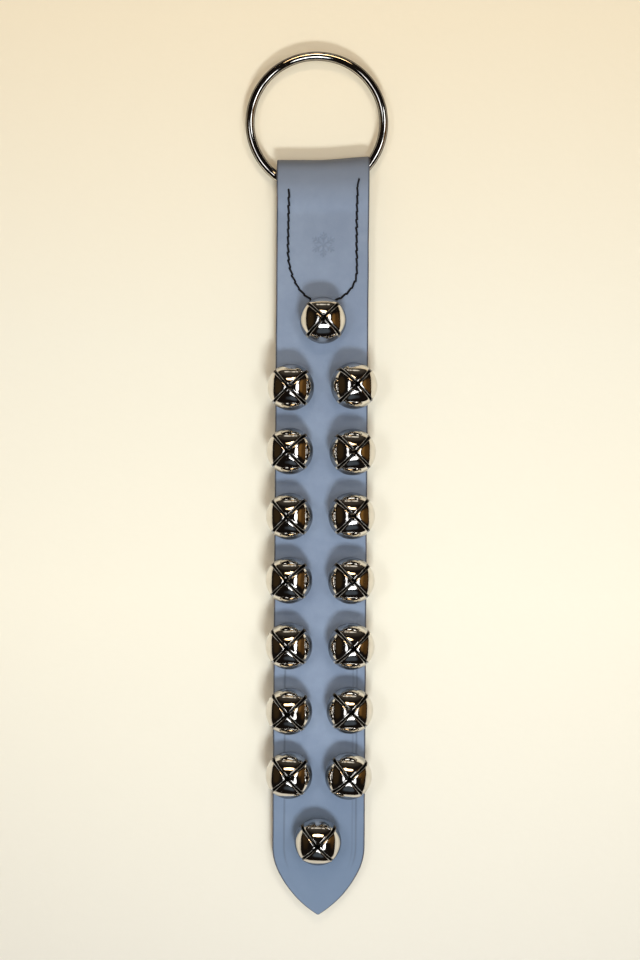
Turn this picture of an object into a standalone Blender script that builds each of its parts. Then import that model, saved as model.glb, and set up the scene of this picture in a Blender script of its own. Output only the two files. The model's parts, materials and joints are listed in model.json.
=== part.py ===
"""Sleigh bells: a leather strap folded over a steel ring, with sixteen jingle bells wired along its front.

Metres, +Z up. The bells face -Y, and the wall the strap hangs on would be on the +Y side. The origin is the
middle of the strap's back face. The heights below are measured down from the top of the fold, and
move_origin_to_strap_middle moves everything at the end.
"""

import math

import bmesh
import bpy
from mathutils import Matrix, Vector

MM = 0.001

# Strap
STRAP_WIDTH = 50.8 * MM
STRAP_LENGTH = 414.6 * MM  # from the top of the fold to the point
LEATHER = 2.5 * MM
LAYER_GAP = 0.3 * MM  # between the front layer and the folded tail
TAIL_LENGTH = 85 * MM
FOLD_HALF_GAP = 4.7 * MM  # half of the pocket's inner width, front to back
FOLD_RISE = 2.2 * MM  # the fold stands this much higher at its right edge
POCKET_STRAIGHT_TO = -13 * MM  # the pocket starts to close here
POCKET_CLOSED_AT = -31 * MM
FOLD_RISE_ENDS_AT = -50 * MM

# The point of the strap: each side is two arcs, tangent to each other
SHOULDER_RADIUS = 31 * MM
SHOULDER_TURN = math.radians(26)
FLANK_RADIUS = 58 * MM
POINT_TURN = math.radians(58.3)

# Ring
RING_RADIUS = 36.8 * MM  # of the wire's centre line
RING_WIRE_RADIUS = 2.5 * MM
RING_SEGMENTS = 52
RING_CENTRE = Vector((-1.5, 0.15, 20.5)) * MM
RING_PIVOT_Z = -11.5 * MM  # half-way up the stretch of wire that the fold holds

# Stitching
SEAM_INSET = 6.8 * MM
SEAM_TOP = -17 * MM
SEAM_ARC_CENTRE = -60 * MM
THREAD_RADIUS = 0.5 * MM
THREAD_CLEARANCE = 0.3 * MM
STITCH_HOLE_RADIUS = 0.9 * MM
STITCH_HOLE_SPAN = 30 * MM  # through both layers, with room to spare

# Bells
BELL_RADIUS = 12.5 * MM
BELL_DEPTH = 22.5 * MM
BELL_WALL = 0.8 * MM
BELL_STANDOFF = 0.9 * MM  # between the shell and the leather
BELL_SLIT_WIDTH = 2.1 * MM
BELL_SLIT_BOTTOM = 10 * MM  # depth of the slits' blind ends, from the back of the bell
SHANK_HOLE_RADIUS = 3.0 * MM
SHELL_SIDES = 16
FIRST_BELL_Z = -90 * MM
BELL_PITCH = 35.2 * MM
COLUMN_X = 15.5 * MM
PAIRED_ROWS = 7

# Shank loops and the wire behind the strap
LOOP_WIRE_RADIUS = 0.8 * MM
LOOP_HALF_SPAN = 1.7 * MM
LOOP_FOOT = 4.4 * MM
LOOP_BEND = 0.9 * MM
LOOP_CLEARANCE = 0.5 * MM  # between the feet and the inside of the shell
RETAINING_WIRE_RADIUS = 0.6 * MM
RETAINING_WIRE_Y = 1.1 * MM
SLOT_LENGTH = 7.4 * MM
SLOT_WIDTH = 2.4 * MM

# Pellets
PELLET_RADIUS = 3.5 * MM
PELLET_DEPTH = 9 * MM  # from the back of the bell
PELLET_CLEARANCE = 0.6 * MM

# How each bell happens to hang: (outward lean, upward tip, turn about its own axis), in degrees
TOP_BELL = (2, 3, -1)
LEFT_BELLS = ((5, -2, 2), (6, 0, 1), (6, -1, 0), (6, 1, 2), (5, -1, -1), (4, -2, 3), (3, 0, 4))
RIGHT_BELLS = ((8, 2, -1), (6, -1, 0), (5, 1, -2), (5, 1, 1), (6, -1, 2), (4, 1, 0), (2, -1, 5))
BOTTOM_BELL = (-1, -3, 2)

# Colours: (red, green, blue), roughness, metallic
MATERIALS = {
    "blue_leather": ((0.245, 0.325, 0.44), 0.55, 0.0),
    "black_thread": ((0.012, 0.012, 0.015), 0.7, 0.0),
    "nickel_plate": ((0.62, 0.58, 0.52), 0.15, 1.0),
    "steel_wire": ((0.45, 0.44, 0.42), 0.35, 1.0),
    "pellet_steel": ((0.35, 0.34, 0.33), 0.4, 1.0),
}


def clear_scene():
    for obj in list(bpy.data.objects):
        bpy.data.objects.remove(obj, do_unlink=True)


def make_material(name):
    colour, roughness, metallic = MATERIALS[name]
    material = bpy.data.materials.new(name)
    material.use_nodes = True
    shader = material.node_tree.nodes["Principled BSDF"]
    shader.inputs["Base Color"].default_value = (*colour, 1.0)
    shader.inputs["Roughness"].default_value = roughness
    shader.inputs["Metallic"].default_value = metallic
    material.diffuse_color = (*colour, 1.0)
    return material


def add_object(name, mesh, parent=None):
    obj = bpy.data.objects.new(name, mesh)
    bpy.context.scene.collection.objects.link(obj)
    obj.parent = parent
    return obj


def add_empty(name, place, turn=None):
    empty = bpy.data.objects.new(name, None)
    empty.empty_display_size = 5 * MM
    empty.location = place
    if turn is not None:
        empty.rotation_euler = turn.to_euler()
    bpy.context.scene.collection.objects.link(empty)
    return empty


def mesh_from(bm, name, material=None, sharp_angle=math.radians(40)):
    bmesh.ops.recalc_face_normals(bm, faces=bm.faces)
    mesh = bpy.data.meshes.new(name)
    bm.to_mesh(mesh)
    bm.free()
    if material is not None:
        mesh.materials.append(material)
    mesh.shade_smooth()
    mesh.set_sharp_from_angle(angle=sharp_angle)
    return mesh


def skin_rings(bm, rings, closed=False):
    """Joins rings of points, each with as many points as the last, into one closed skin."""
    rows = [[bm.verts.new(point) for point in ring] for ring in rings]
    pairs = list(zip(rows, rows[1:]))
    if closed:
        pairs.append((rows[-1], rows[0]))
    for row, after in pairs:
        for i in range(len(row)):
            j = (i + 1) % len(row)
            bm.faces.new((row[i], row[j], after[j], after[i]))
    if not closed:
        bm.faces.new(rows[0])
        bm.faces.new(reversed(rows[-1]))


def circle(count, radius):
    """Points around the origin, as (first, second) coordinates."""
    turns = [2 * math.pi * i / count for i in range(count)]
    return [(radius * math.cos(turn), radius * math.sin(turn)) for turn in turns]


def sweep_round_wire(path, radius, sides, name, material):
    """A round wire along a path of points, with flat ends."""
    bm = bmesh.new()
    rings = []
    tangent = (path[1] - path[0]).normalized()
    side = tangent.orthogonal().normalized()
    for i, point in enumerate(path):
        before = path[max(i - 1, 0)]
        after = path[min(i + 1, len(path) - 1)]
        new_tangent = (after - before).normalized()
        side.rotate(tangent.rotation_difference(new_tangent))
        tangent = new_tangent
        up = tangent.cross(side)
        rings.append([point + side * a + up * b for a, b in circle(sides, radius)])
    skin_rings(bm, rings)
    return mesh_from(bm, name, material)


def arc(centre, first, second, start, end, steps):
    """Points on an arc: centre + first * cos + second * sin, from start to end in radians."""
    turns = [start + (end - start) * i / steps for i in range(steps + 1)]
    return [centre + first * math.cos(turn) + second * math.sin(turn) for turn in turns]


def boolean_cut(obj, cutter, name, solver="EXACT"):
    modifier = obj.modifiers.new(name, "BOOLEAN")
    modifier.operation = "DIFFERENCE"
    modifier.solver = solver
    modifier.object = cutter
    cutter.hide_render = True
    cutter.display_type = "WIRE"


def add_box(bm, size, place=Matrix.Identity(4)):
    bmesh.ops.create_cube(bm, size=1.0, matrix=place @ Matrix.Diagonal((*size, 1.0)))


# ---- The strap's side profile: a path down the inner face of the leather, from the point to the tail ----

MIDDLE_Y = LAYER_GAP / 2
CLOSED_HALF_GAP = LAYER_GAP / 2
FOLD_CENTRE_Z = -LEATHER - FOLD_HALF_GAP


def pocket_half_gap(z):
    """Half of the space between the two layers at this height, below the fold's round top."""
    if z <= POCKET_CLOSED_AT:
        return CLOSED_HALF_GAP
    if z >= POCKET_STRAIGHT_TO:
        return FOLD_HALF_GAP
    done = (POCKET_STRAIGHT_TO - z) / (POCKET_STRAIGHT_TO - POCKET_CLOSED_AT)
    return CLOSED_HALF_GAP + (FOLD_HALF_GAP - CLOSED_HALF_GAP) * (0.5 + 0.5 * math.cos(math.pi * done))


def fold_rise(x, z):
    """How much the skewed fold lifts the leather at this place."""
    fade = min(max((z - FOLD_RISE_ENDS_AT) / -FOLD_RISE_ENDS_AT, 0.0), 1.0)
    return FOLD_RISE * max(x / (STRAP_WIDTH / 2), 0.0) * fade


def pocket_heights():
    """Heights of the profile's stations, up the pocket from its closed end to the start of the round top."""
    steps = 7
    rise = [POCKET_CLOSED_AT + (POCKET_STRAIGHT_TO - POCKET_CLOSED_AT) * i / steps for i in range(steps + 1)]
    return rise + [FOLD_CENTRE_Z]


def front_point_outline():
    """(height, half width) up the pointed end of the strap, from its tip to the full width."""
    half = STRAP_WIDTH / 2
    shoulder_steps = 4
    flank_steps = 6
    turned_x = SHOULDER_RADIUS * (1 - math.cos(SHOULDER_TURN))
    turned_z = SHOULDER_RADIUS * math.sin(SHOULDER_TURN)
    outline = []
    for i in range(flank_steps + 1):
        turn = POINT_TURN + (SHOULDER_TURN - POINT_TURN) * i / flank_steps
        width = half - turned_x - FLANK_RADIUS * (math.cos(SHOULDER_TURN) - math.cos(turn))
        drop = turned_z + FLANK_RADIUS * (math.sin(turn) - math.sin(SHOULDER_TURN))
        outline.append((drop, width))
    for i in range(1, shoulder_steps + 1):
        turn = SHOULDER_TURN * (1 - i / shoulder_steps)
        outline.append((SHOULDER_RADIUS * math.sin(turn), half - SHOULDER_RADIUS * (1 - math.cos(turn))))
    height = outline[0][0]
    return [(-STRAP_LENGTH + height - drop, width) for drop, width in outline]


def strap_stations():
    """(y, z, half width) of the inner face's stations, from the point, over the fold, to the tail's end."""
    half = STRAP_WIDTH / 2
    stations = [(MIDDLE_Y - CLOSED_HALF_GAP, z, width) for z, width in front_point_outline()]
    rise = pocket_heights()
    stations += [(MIDDLE_Y - pocket_half_gap(z), z, half) for z in rise]
    top_steps = 10
    for i in range(1, top_steps):
        turn = math.pi * i / top_steps
        y = MIDDLE_Y - FOLD_HALF_GAP * math.cos(turn)
        stations.append((y, FOLD_CENTRE_Z + FOLD_HALF_GAP * math.sin(turn), half))
    stations += [(MIDDLE_Y + pocket_half_gap(z), z, half) for z in reversed(rise)]
    tail_y = MIDDLE_Y + CLOSED_HALF_GAP
    end_steps = 8
    for i in range(end_steps):
        turn = math.pi / 2 * i / end_steps
        stations.append((tail_y, -TAIL_LENGTH + half * (1 - math.sin(turn)), half * math.cos(turn)))
    blunt_end = 1.5 * MM
    stations.append((tail_y, -TAIL_LENGTH, blunt_end))
    return stations


def outward_normals(stations):
    """The direction from the inner face to the outer face at each station, in the YZ plane."""
    normals = []
    for i in range(len(stations)):
        before = stations[max(i - 1, 0)]
        after = stations[min(i + 1, len(stations) - 1)]
        along = Vector((after[0] - before[0], after[1] - before[1])).normalized()
        normals.append(Vector((-along.y, along.x)))
    return normals


def build_strap(material):
    bm = bmesh.new()
    stations = strap_stations()
    rings = []
    for (y, z, width), normal in zip(stations, outward_normals(stations)):
        inner = []
        outer = []
        for x in (-width, 0.0, width):
            rise = fold_rise(x, z)
            inner.append(Vector((x, y, z + rise)))
            outer.append(Vector((x, y + normal.x * LEATHER, z + normal.y * LEATHER + rise)))
        rings.append(inner + outer[::-1])
    skin_rings(bm, rings)
    strap = add_object("strap", mesh_from(bm, "strap", material))
    boolean_cut(strap, build_strap_cutter(), "Slots")


def build_strap_cutter():
    """The slots for the bells' shanks, and the two holes where the seam's threads start."""
    bm = bmesh.new()
    through = 3 * LEATHER
    for place, on_column in bell_places():
        if on_column:
            size = (SLOT_LENGTH, through, SLOT_WIDTH)
        else:
            size = (SLOT_WIDTH, through, SLOT_LENGTH)
        add_box(bm, size, Matrix.Translation((place.x, 0.0, place.z)))
    for x in (-seam_half_width(), seam_half_width()):
        rings = []
        for y in (-STITCH_HOLE_SPAN / 2, STITCH_HOLE_SPAN / 2):
            rings.append([Vector((x + a, y, SEAM_TOP + b)) for a, b in circle(8, STITCH_HOLE_RADIUS)])
        skin_rings(bm, rings)
    return add_object("strap_slots_cutter", mesh_from(bm, "strap_slots_cutter"))


# ---- Stitching ----


def seam_half_width():
    return STRAP_WIDTH / 2 - SEAM_INSET


def seam_path(side):
    """The thread's centre line, on the front (side -1) or on the back (side +1) of the two layers."""
    lift = LEATHER + THREAD_CLEARANCE + THREAD_RADIUS
    half = seam_half_width()
    straight_steps = 12
    step = (SEAM_ARC_CENTRE - SEAM_TOP) / straight_steps
    heights = [SEAM_TOP + step * i for i in range(straight_steps + 1)]
    plan = [(-half, z) for z in heights]
    arc_steps = 12
    for i in range(1, arc_steps):
        turn = math.pi * i / arc_steps
        plan.append((-half * math.cos(turn), SEAM_ARC_CENTRE - half * math.sin(turn)))
    plan += [(half, z) for z in reversed(heights)]
    path = []
    for x, z in plan:
        level = z - fold_rise(x, z)
        slope = (pocket_half_gap(level + 0.5 * MM) - pocket_half_gap(level - 0.5 * MM)) / MM
        leaning_lift = lift * math.sqrt(1 + slope * slope)
        path.append(Vector((x, MIDDLE_Y + side * (pocket_half_gap(level) + leaning_lift), z)))
    sunk = Vector((0.0, -side * (LEATHER + THREAD_CLEARANCE), 0.0))
    return [path[0] + sunk] + path + [path[-1] + sunk]


def build_threads(material):
    for name, side in (("stitch_thread_front", -1), ("stitch_thread_back", 1)):
        add_object(name, sweep_round_wire(seam_path(side), THREAD_RADIUS, 5, name, material))


# ---- Ring ----


def build_ring(material):
    """The ring's mesh is in the frame of its pivot, which is on the swing's axis."""
    pivot = add_empty("hanging_ring_pivot", Vector((RING_CENTRE.x, RING_CENTRE.y, RING_PIVOT_Z)))
    centre = RING_CENTRE - pivot.location
    bm = bmesh.new()
    rings = []
    for across, up in circle(RING_SEGMENTS, 1.0):
        out = Vector((across, 0.0, up))
        ring = []
        for a, b in circle(8, RING_WIRE_RADIUS):
            ring.append(centre + out * (RING_RADIUS + a) + Vector((0.0, b, 0.0)))
        rings.append(ring)
    skin_rings(bm, rings, closed=True)
    add_object("hanging_ring", mesh_from(bm, "hanging_ring", material), pivot)


# ---- Bells. A bell's own frame has its origin on the retaining wire, and its front towards -Y ----

BELL_BACK_Y = -(RETAINING_WIRE_Y + LEATHER + BELL_STANDOFF)


def bell_places():
    """(pivot, whether it is in a column) for each bell, from the top: left before right in each row."""
    places = [(Vector((0.0, RETAINING_WIRE_Y, FIRST_BELL_Z)), False)]
    for row in range(1, PAIRED_ROWS + 1):
        for x in (-COLUMN_X, COLUMN_X):
            places.append((Vector((x, RETAINING_WIRE_Y, FIRST_BELL_Z - BELL_PITCH * row)), True))
    last_z = FIRST_BELL_Z - BELL_PITCH * (PAIRED_ROWS + 1)
    places.append((Vector((0.0, RETAINING_WIRE_Y, last_z)), False))
    return places


def bell_attitudes():
    """(lean to +X, upward tip, own turn) of each bell in degrees, in the order of bell_places."""
    attitudes = [TOP_BELL]
    for left, right in zip(LEFT_BELLS, RIGHT_BELLS):
        attitudes.append((-left[0], left[1], left[2]))
        attitudes.append(right)
    attitudes.append(BOTTOM_BELL)
    return attitudes


def squareness(depth):
    """Exponent of the bell's outline at this depth: 2 is round, and more is squarer."""
    start = 8 * MM
    end = 17 * MM
    done = min(max((depth - start) / (end - start), 0.0), 1.0)
    return 2.0 + 5.0 * done * done


def bell_ring_points(corner_radius, depth):
    """One ring of the shell: its corners, on the diagonals, are at corner_radius."""
    power = squareness(depth)
    corner = 2 ** (0.5 - 1 / power)
    ring = []
    for across, up in circle(SHELL_SIDES, 1.0):
        reach = (abs(across) ** power + abs(up) ** power) ** (-1 / power) / corner
        ring.append(Vector((across * reach * corner_radius, BELL_BACK_Y - depth, up * reach * corner_radius)))
    return ring


# (corner radius, depth), each as a share of the bell's radius or of its depth
BELL_BACK = ((0.30, 0.0), (0.62, 0.07), (0.90, 0.24))
BELL_FRONT = ((1.0, 0.44), (1.0, 0.66), (0.92, 0.80), (0.55, 0.945))
HOLLOW_PROFILE = ((0.30, 0.0), (0.90, 0.24), (1.0, 0.44), (0.92, 0.80))
FRONT_FLAT_SHARE = 0.16


def bell_solid(name, inset, profile):
    """The bell's outer form, or with an inset the hollow inside it."""
    bm = bmesh.new()
    rings = []
    usable = BELL_DEPTH - 2 * inset
    for radius_share, depth_share in profile:
        rings.append(bell_ring_points(radius_share * (BELL_RADIUS - inset), inset + depth_share * usable))
    rings.append(bell_ring_points(FRONT_FLAT_SHARE * (BELL_RADIUS - inset), inset + usable))
    skin_rings(bm, rings)
    return mesh_from(bm, name)


def build_bell_template(material):
    """One shell, cut from its solid form; every bell shares the mesh it gives.

    Its cuts use the MANIFOLD solver: EXACT leaves open edges where the slits meet the hollow.
    """
    outer = add_object("bell_form", bell_solid("bell_form", 0.0, BELL_BACK + BELL_FRONT))
    outer.data.materials.append(material)
    hollow = add_object("bell_hollow_cutter", bell_solid("bell_hollow_cutter", BELL_WALL, HOLLOW_PROFILE))
    boolean_cut(outer, hollow, "Hollow", "MANIFOLD")
    slit_place = Matrix.Translation((0.0, BELL_BACK_Y - BELL_SLIT_BOTTOM - BELL_DEPTH / 2, 0.0))
    slit_size = (3 * BELL_RADIUS, BELL_DEPTH, BELL_SLIT_WIDTH)
    for name, degrees in (("bell_rising_slit_cutter", -45), ("bell_falling_slit_cutter", 45)):
        slit = bmesh.new()
        add_box(slit, slit_size, slit_place @ Matrix.Rotation(math.radians(degrees), 4, "Y"))
        boolean_cut(outer, add_object(name, mesh_from(slit, name)), name, "MANIFOLD")
    hole = bmesh.new()
    rings = []
    for y in (BELL_BACK_Y + BELL_WALL, BELL_BACK_Y - 2.5 * BELL_WALL):
        rings.append([Vector((a, y, b)) for a, b in circle(12, SHANK_HOLE_RADIUS)])
    skin_rings(hole, rings)
    shank_hole = add_object("bell_shank_hole_cutter", mesh_from(hole, "bell_shank_hole_cutter"))
    boolean_cut(outer, shank_hole, "Shank hole", "MANIFOLD")
    bpy.context.view_layer.update()
    graph = bpy.context.evaluated_depsgraph_get()
    mesh = bpy.data.meshes.new_from_object(outer.evaluated_get(graph))
    mesh.name = "bell_shell"
    outer.hide_render = True
    outer.display_type = "WIRE"
    return mesh


def loop_mesh(material):
    """The shank: round the retaining wire, through the strap and the bell's back, then feet to each side."""
    foot_y = BELL_BACK_Y - BELL_WALL - LOOP_CLEARANCE - LOOP_WIRE_RADIUS
    across = Vector((1.0, 0.0, 0.0))
    back = Vector((0.0, 1.0, 0.0))
    right = [Vector((LOOP_FOOT, foot_y, 0.0))]
    bend_centre = Vector((LOOP_HALF_SPAN + LOOP_BEND, foot_y + LOOP_BEND, 0.0))
    right += arc(bend_centre, across * LOOP_BEND, back * LOOP_BEND, -math.pi / 2, -math.pi, 2)
    turn_round = arc(Vector(), across * LOOP_HALF_SPAN, back * LOOP_HALF_SPAN, 0.0, math.pi, 6)
    left = [Vector((-point.x, point.y, 0.0)) for point in reversed(right)]
    return sweep_round_wire(right + turn_round + left, LOOP_WIRE_RADIUS, 6, "bell_loop", material)


def pellet_mesh(material):
    bm = bmesh.new()
    bmesh.ops.create_icosphere(bm, subdivisions=1, radius=PELLET_RADIUS)
    return mesh_from(bm, "bell_pellet", material, math.pi)


def pellet_rest_drop():
    """How far below the bell's axis the pellet's centre lies when it rests in the shell."""
    facet = math.cos(math.pi / SHELL_SIDES)
    return (BELL_RADIUS - BELL_WALL) * facet - PELLET_RADIUS - PELLET_CLEARANCE


def build_bells(nickel, steel, pellet_steel):
    shell = build_bell_template(nickel)
    loop = loop_mesh(steel)
    pellet = pellet_mesh(pellet_steel)
    for number, ((place, on_column), attitude) in enumerate(zip(bell_places(), bell_attitudes()), start=1):
        lean, tip, own_turn = (math.radians(angle) for angle in attitude)
        turn = Matrix.Rotation(lean, 3, "Z") @ Matrix.Rotation(-tip, 3, "X")
        name = f"bell_{number:02d}"
        pivot = add_empty(f"{name}_pivot", place, turn)
        add_object(f"{name}_shell", shell, pivot).rotation_euler.y = own_turn
        shank = add_object(f"{name}_loop", loop, pivot)
        if not on_column:
            shank.rotation_euler.y = math.pi / 2
        ball = add_object(f"{name}_pellet", pellet, pivot)
        ball.location = (0.0, BELL_BACK_Y - PELLET_DEPTH, -pellet_rest_drop())


# ---- The wire behind the strap ----


def build_retaining_wire(material):
    """Through the bottom bell's shank, up the right column, through the top bell's, and down the left column
    to a hook, so that the wire's two ends stand side by side."""
    top = FIRST_BELL_Z
    bottom = FIRST_BELL_Z - BELL_PITCH * (PAIRED_ROWS + 1)
    y = RETAINING_WIRE_Y
    across = Vector((1.0, 0.0, 0.0))
    up = Vector((0.0, 0.0, 1.0))
    bend = 12 * MM
    small_bend = 2 * MM
    ends_height = bottom + 10 * MM
    right_end_x = -6 * MM
    left_end_x = -8 * MM
    hook = (COLUMN_X + left_end_x) / 2

    def bend_at(x, z, radius, start, end, steps=6):
        return arc(Vector((x, y, z)), across * radius, up * radius, start, end, steps)

    quarter = math.pi / 2
    path = [Vector((right_end_x, y, ends_height))]
    path += bend_at(right_end_x + small_bend, bottom + small_bend, small_bend, -2 * quarter, -quarter, 3)
    path += bend_at(COLUMN_X - bend, bottom + bend, bend, -quarter, 0.0)
    path += bend_at(COLUMN_X - bend, top - bend, bend, 0.0, quarter)
    path += bend_at(bend - COLUMN_X, top - bend, bend, quarter, 2 * quarter)
    path += bend_at(left_end_x - hook, bottom + hook, hook, -2 * quarter, 0.0)
    path.append(Vector((left_end_x, y, ends_height)))
    add_object("retaining_wire", sweep_round_wire(path, RETAINING_WIRE_RADIUS, 6, "retaining_wire", material))


def move_origin_to_strap_middle():
    """Until now z = 0 is the top of the fold."""
    for obj in bpy.data.objects:
        if obj.parent is None:
            obj.location.z += STRAP_LENGTH / 2


def build():
    clear_scene()
    leather = make_material("blue_leather")
    thread = make_material("black_thread")
    nickel = make_material("nickel_plate")
    steel = make_material("steel_wire")
    pellet_steel = make_material("pellet_steel")
    build_strap(leather)
    build_threads(thread)
    build_ring(nickel)
    build_bells(nickel, steel, pellet_steel)
    build_retaining_wire(steel)
    move_origin_to_strap_middle()


build()
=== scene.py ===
"""Sleigh bells: a leather strap with nickel jingle bells, hanging from its ring on a pale wall.

Metres throughout, +Z up, and the bells face -Y. Shapes are built in the strap's own frame, which has
z = 0 at the top of the fold; STRAP_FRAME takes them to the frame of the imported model.
"""

import json
import random
from math import acos, asin, atan2, copysign, cos, exp, hypot, pi, radians, sin, sqrt

import bmesh
import bpy
from mathutils import Matrix, Vector, noise

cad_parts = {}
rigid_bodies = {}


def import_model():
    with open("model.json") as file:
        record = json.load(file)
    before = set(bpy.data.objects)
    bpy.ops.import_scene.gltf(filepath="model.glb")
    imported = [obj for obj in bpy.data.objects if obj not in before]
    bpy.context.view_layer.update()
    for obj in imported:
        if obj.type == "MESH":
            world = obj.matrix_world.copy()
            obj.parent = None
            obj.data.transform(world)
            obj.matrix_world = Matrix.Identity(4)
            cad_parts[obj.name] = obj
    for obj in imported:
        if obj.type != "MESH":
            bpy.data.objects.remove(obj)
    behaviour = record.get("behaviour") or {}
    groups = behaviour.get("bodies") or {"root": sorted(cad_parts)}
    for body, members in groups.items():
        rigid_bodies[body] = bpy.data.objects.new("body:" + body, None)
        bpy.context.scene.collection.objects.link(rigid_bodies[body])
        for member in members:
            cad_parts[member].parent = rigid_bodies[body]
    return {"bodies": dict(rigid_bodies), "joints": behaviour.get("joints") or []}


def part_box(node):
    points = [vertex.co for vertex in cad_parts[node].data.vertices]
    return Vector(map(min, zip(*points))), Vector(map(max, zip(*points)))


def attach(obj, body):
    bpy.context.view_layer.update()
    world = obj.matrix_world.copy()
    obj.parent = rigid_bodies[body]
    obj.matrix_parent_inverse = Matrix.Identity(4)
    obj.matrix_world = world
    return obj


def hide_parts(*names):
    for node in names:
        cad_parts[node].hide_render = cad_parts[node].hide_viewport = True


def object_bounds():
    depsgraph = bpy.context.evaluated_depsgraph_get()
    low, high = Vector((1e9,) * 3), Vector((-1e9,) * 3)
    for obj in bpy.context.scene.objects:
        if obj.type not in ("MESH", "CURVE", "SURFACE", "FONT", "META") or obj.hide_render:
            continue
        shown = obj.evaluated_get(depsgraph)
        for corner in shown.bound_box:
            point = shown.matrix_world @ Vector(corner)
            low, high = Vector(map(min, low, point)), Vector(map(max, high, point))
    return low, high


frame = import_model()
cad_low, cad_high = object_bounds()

MM = 0.001
JOINTS = {joint["name"]: joint for joint in frame["joints"]}
SCENE = bpy.context.scene

# ---- Sizes. The overall sizes and places come from the frame ----

strap_low, strap_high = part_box("strap")
ring_low, ring_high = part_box("hanging_ring")
STRAP_HALF = (strap_high.x - strap_low.x) / 2
STRAP_LENGTH = 414.6 * MM
STRAP_TIP_Z = -STRAP_LENGTH
FOLD_TOP = Vector((0.0, 0.0, strap_low.z + STRAP_LENGTH))
STRAP_FRAME = Matrix.Translation(FOLD_TOP)
LEATHER = 2.5 * MM  # its thickness
EDGE_ROUND = 0.7 * MM
EDGE_BAND = (0.3 * MM, 1.5 * MM)  # the dye of the cut edge fades over this distance from it
LAYER_GAP = 0.3 * MM
MIDDLE_Y = LAYER_GAP / 2
TAIL_END_Z = -85 * MM
FOLD_HALF_GAP = 4.7 * MM
FOLD_RISE = 2.2 * MM  # the fold's right side stands this much higher than its left
FOLD_RISE_ENDS_AT = -50 * MM
POCKET_STRAIGHT_TO = -13 * MM
POCKET_CLOSED_AT = -31 * MM
POINT_LENGTH = 37.5 * MM
SHOULDER_RADIUS = 31 * MM
SHOULDER_TURN = radians(26)
FLANK_RADIUS = 58 * MM
POINT_TURN = radians(58.3)

SLOT_LENGTH = 7.4 * MM
SLOT_WIDTH = 2.4 * MM

RING_SLID = Vector((-2.2 * MM, 0.0, 0.0))  # the ring has slid a little to the left in the fold

SEAM_TOP_LEFT = -17 * MM
SEAM_TOP_RIGHT = -15.8 * MM
SEAM_BOTTOM = -78.6 * MM
SEAM_LEFT = (19.0 * MM, -50 * MM)  # distance from the middle, and where its curve starts
SEAM_RIGHT = (18.9 * MM, -61.5 * MM)
STITCH = 4.2 * MM
THREAD_RADIUS = 0.54 * MM
THREAD_TWIST = 2600.0  # radians in a metre

# Marks pressed into the leather
SEAM_GROOVE_DEPTH = 0.30 * MM
SEAM_GROOVE_WIDTH = 0.75 * MM
STITCH_HOLE_DEPTH = 0.35 * MM
STITCH_HOLE_WIDTH = 0.55 * MM
STAMP_CENTRE = Vector((0.4 * MM, -46.5 * MM))
STAMP_ARM = 6.6 * MM
STAMP_DEPTH = 0.34 * MM
CREASES = ((-1, 6.4, 1.0), (1, 5.0, 1.0), (1, 7.0, 0.55))  # side, inset in mm, strength
CREASE_TOP = -246 * MM
CREASE_BOTTOM = -392 * MM
CREASE_DEPTH = 0.28 * MM
CREASE_WIDTH = 0.42 * MM
MARK_MARGIN = 3 * MM  # no mark reaches further than this

BELL_RADIUS = 12.75 * MM
BELL_DEPTH = 22.5 * MM
BELL_WIDEST = 10.2 * MM  # depth of the widest section, from the back
BACK_POWER = 2 / 2.2  # the back is a superellipse, a little fuller than a round one
BELL_WALL = 0.8 * MM
BELL_SLIT_HALF = 1.05 * MM
BELL_SLIT_HALF_AT_TIPS = 0.5 * MM  # the slits close up towards the middle of the face
BELL_SLIT_BOTTOM = 10.0 * MM
BELL_STANDOFF = 0.9 * MM
SHANK_HOLE = 2.7 * MM
FACE_SQUARENESS = 3.0  # exponent of the lines round the face: 2 is round
ROUND_DOWN_TO = radians(80)  # between these tilts the shell goes from round to square
SQUARE_FROM = radians(45)
LIP_WIDTH = 0.6 * MM  # along the slits the petals' edges turn down
LIP_DROP = 0.34 * MM
LIP_COLUMNS = 2  # columns of faces at each edge of a petal that get the pale rim finish, a painted highlight along the slits
PETAL_TIP = 1.4 * MM

LOOP_WIRE = 0.8 * MM
LOOP_HALF_SPAN = 1.7 * MM
LOOP_BEND = 0.9 * MM
LOOP_FOOT = 4.4 * MM  # where the feet end, from the middle
RETAINING_WIRE = 0.6 * MM
TWIST_REACH = 0.68 * MM  # of each of the two strands, where the wire's ends are twisted together
TWIST_TURNS = 2.5
PELLET_RADIUS = 3.5 * MM

WALL_Y = cad_high.y + 1.2 * MM
FLOOR_Z = -0.95

DICE = random.Random(12)


# ---- Small helpers ----


def lerp(a, b, share):
    return a + (b - a) * share


def shares(steps):
    """0 to 1 in equal steps."""
    return [i / steps for i in range(steps + 1)]


def smoothstep(low, high, value):
    share = min(max((value - low) / (high - low), 0.0), 1.0)
    return share * share * (3 - 2 * share)


def bell_curve(distance, width):
    return exp(-((distance / width) ** 2))


def add_object(name, mesh, place=Matrix()):
    obj = bpy.data.objects.new(name, mesh)
    obj.matrix_world = STRAP_FRAME @ place
    SCENE.collection.objects.link(obj)
    return obj


def mesh_from(bm, name, materials, smooth=True):
    mesh = bpy.data.meshes.new(name)
    bm.to_mesh(mesh)
    bm.free()
    for material in materials:
        mesh.materials.append(material)
    if smooth:
        mesh.shade_smooth()
    return mesh


def closed_skin(bm, name, materials):
    """An object from a closed skin, with its faces turned outward."""
    bmesh.ops.recalc_face_normals(bm, faces=bm.faces)
    return add_object(name, mesh_from(bm, name, materials))


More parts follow.
